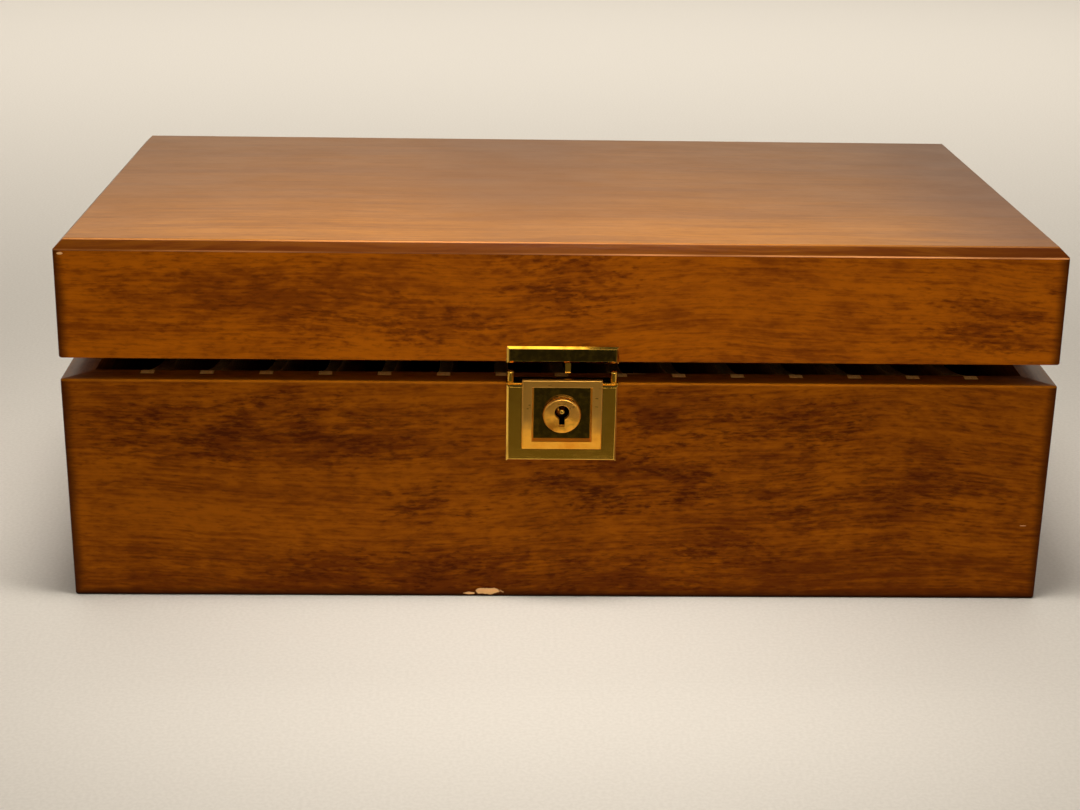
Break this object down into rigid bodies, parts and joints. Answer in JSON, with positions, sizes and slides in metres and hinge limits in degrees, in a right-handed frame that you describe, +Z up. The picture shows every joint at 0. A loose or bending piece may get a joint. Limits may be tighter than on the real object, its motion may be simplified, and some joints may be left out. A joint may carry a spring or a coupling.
{
  "type": "lockable collector's box",
  "caption": "Lockable hardwood collector's box with upright divided slots, a chamfered hinged lid and a brass box lock on the front.",
  "frame": {"origin": "centre of the box's underside", "axes": "+Z up, front and lock towards -Y, +X to the right of a person facing the lock"},
  "size_m": [0.3, 0.1723, 0.1135],
  "materials": {
    "mahogany": "satin lacquer over mahogany stain",
    "divider_wood": "raw",
    "panel_wood": "raw plywood",
    "base_felt": "felt",
    "lining": "velvet",
    "polished_brass": "mirror polished",
    "satin_brass": "satin brushed",
    "hinge_brass": "polished",
    "spring_steel": "blued"
  },
  "bodies": {
    "base": {"base_back_wall": "mahogany", "base_bottom_panel": "panel_wood", "base_felt": "base_felt", "base_front_wall": "mahogany", "base_left_wall": "mahogany", "base_lining": "lining", "base_right_wall": "mahogany", "divider_01": "divider_wood", "divider_02": "divider_wood", "divider_03": "divider_wood", "divider_04": "divider_wood", "divider_05": "divider_wood", "divider_06": "divider_wood", "divider_07": "divider_wood", "divider_08": "divider_wood", "divider_09": "divider_wood", "divider_10": "divider_wood", "divider_11": "divider_wood", "divider_12": "divider_wood", "divider_13": "divider_wood", "divider_14": "divider_wood", "divider_15": "divider_wood", "hinge_base_leaf_left": "hinge_brass", "hinge_base_leaf_right": "hinge_brass", "hinge_base_screws": "hinge_brass", "hinge_pin_left": "hinge_brass", "hinge_pin_right": "hinge_brass", "lock_bezel": "satin_brass", "lock_boss": "satin_brass", "lock_case": "polished_brass", "lock_drill_pin": "polished_brass", "lock_front_plate": "polished_brass", "lock_guide_pins": "polished_brass", "lock_screws": "polished_brass", "lock_spring": "spring_steel", "lock_top_plate": "polished_brass"},
    "lid": {"hinge_lid_leaf_left": "hinge_brass", "hinge_lid_leaf_right": "hinge_brass", "hinge_lid_screws": "hinge_brass", "lid_back_rail": "mahogany", "lid_front_rail": "mahogany", "lid_left_rail": "mahogany", "lid_lining": "lining", "lid_right_rail": "mahogany", "lid_top_panel": "mahogany", "strike_hook": "polished_brass", "strike_plate": "polished_brass", "strike_screws": "polished_brass"},
    "lock_bolt": {"lock_bolt": "polished_brass"}
  },
  "joints": [
    {"name": "lid_hinge", "type": "hinge", "parent": "base", "child": "lid", "pos_m": [0, 0.0814, 0.07115], "axis": [-1, 0, 0], "range_deg": [-2.2, 91.8]},
    {"name": "lock_bolt_slide", "type": "slide", "parent": "base", "child": "lock_bolt", "axis": [1, 0, 0], "range_m": [0, 0.0032]}
  ]
}
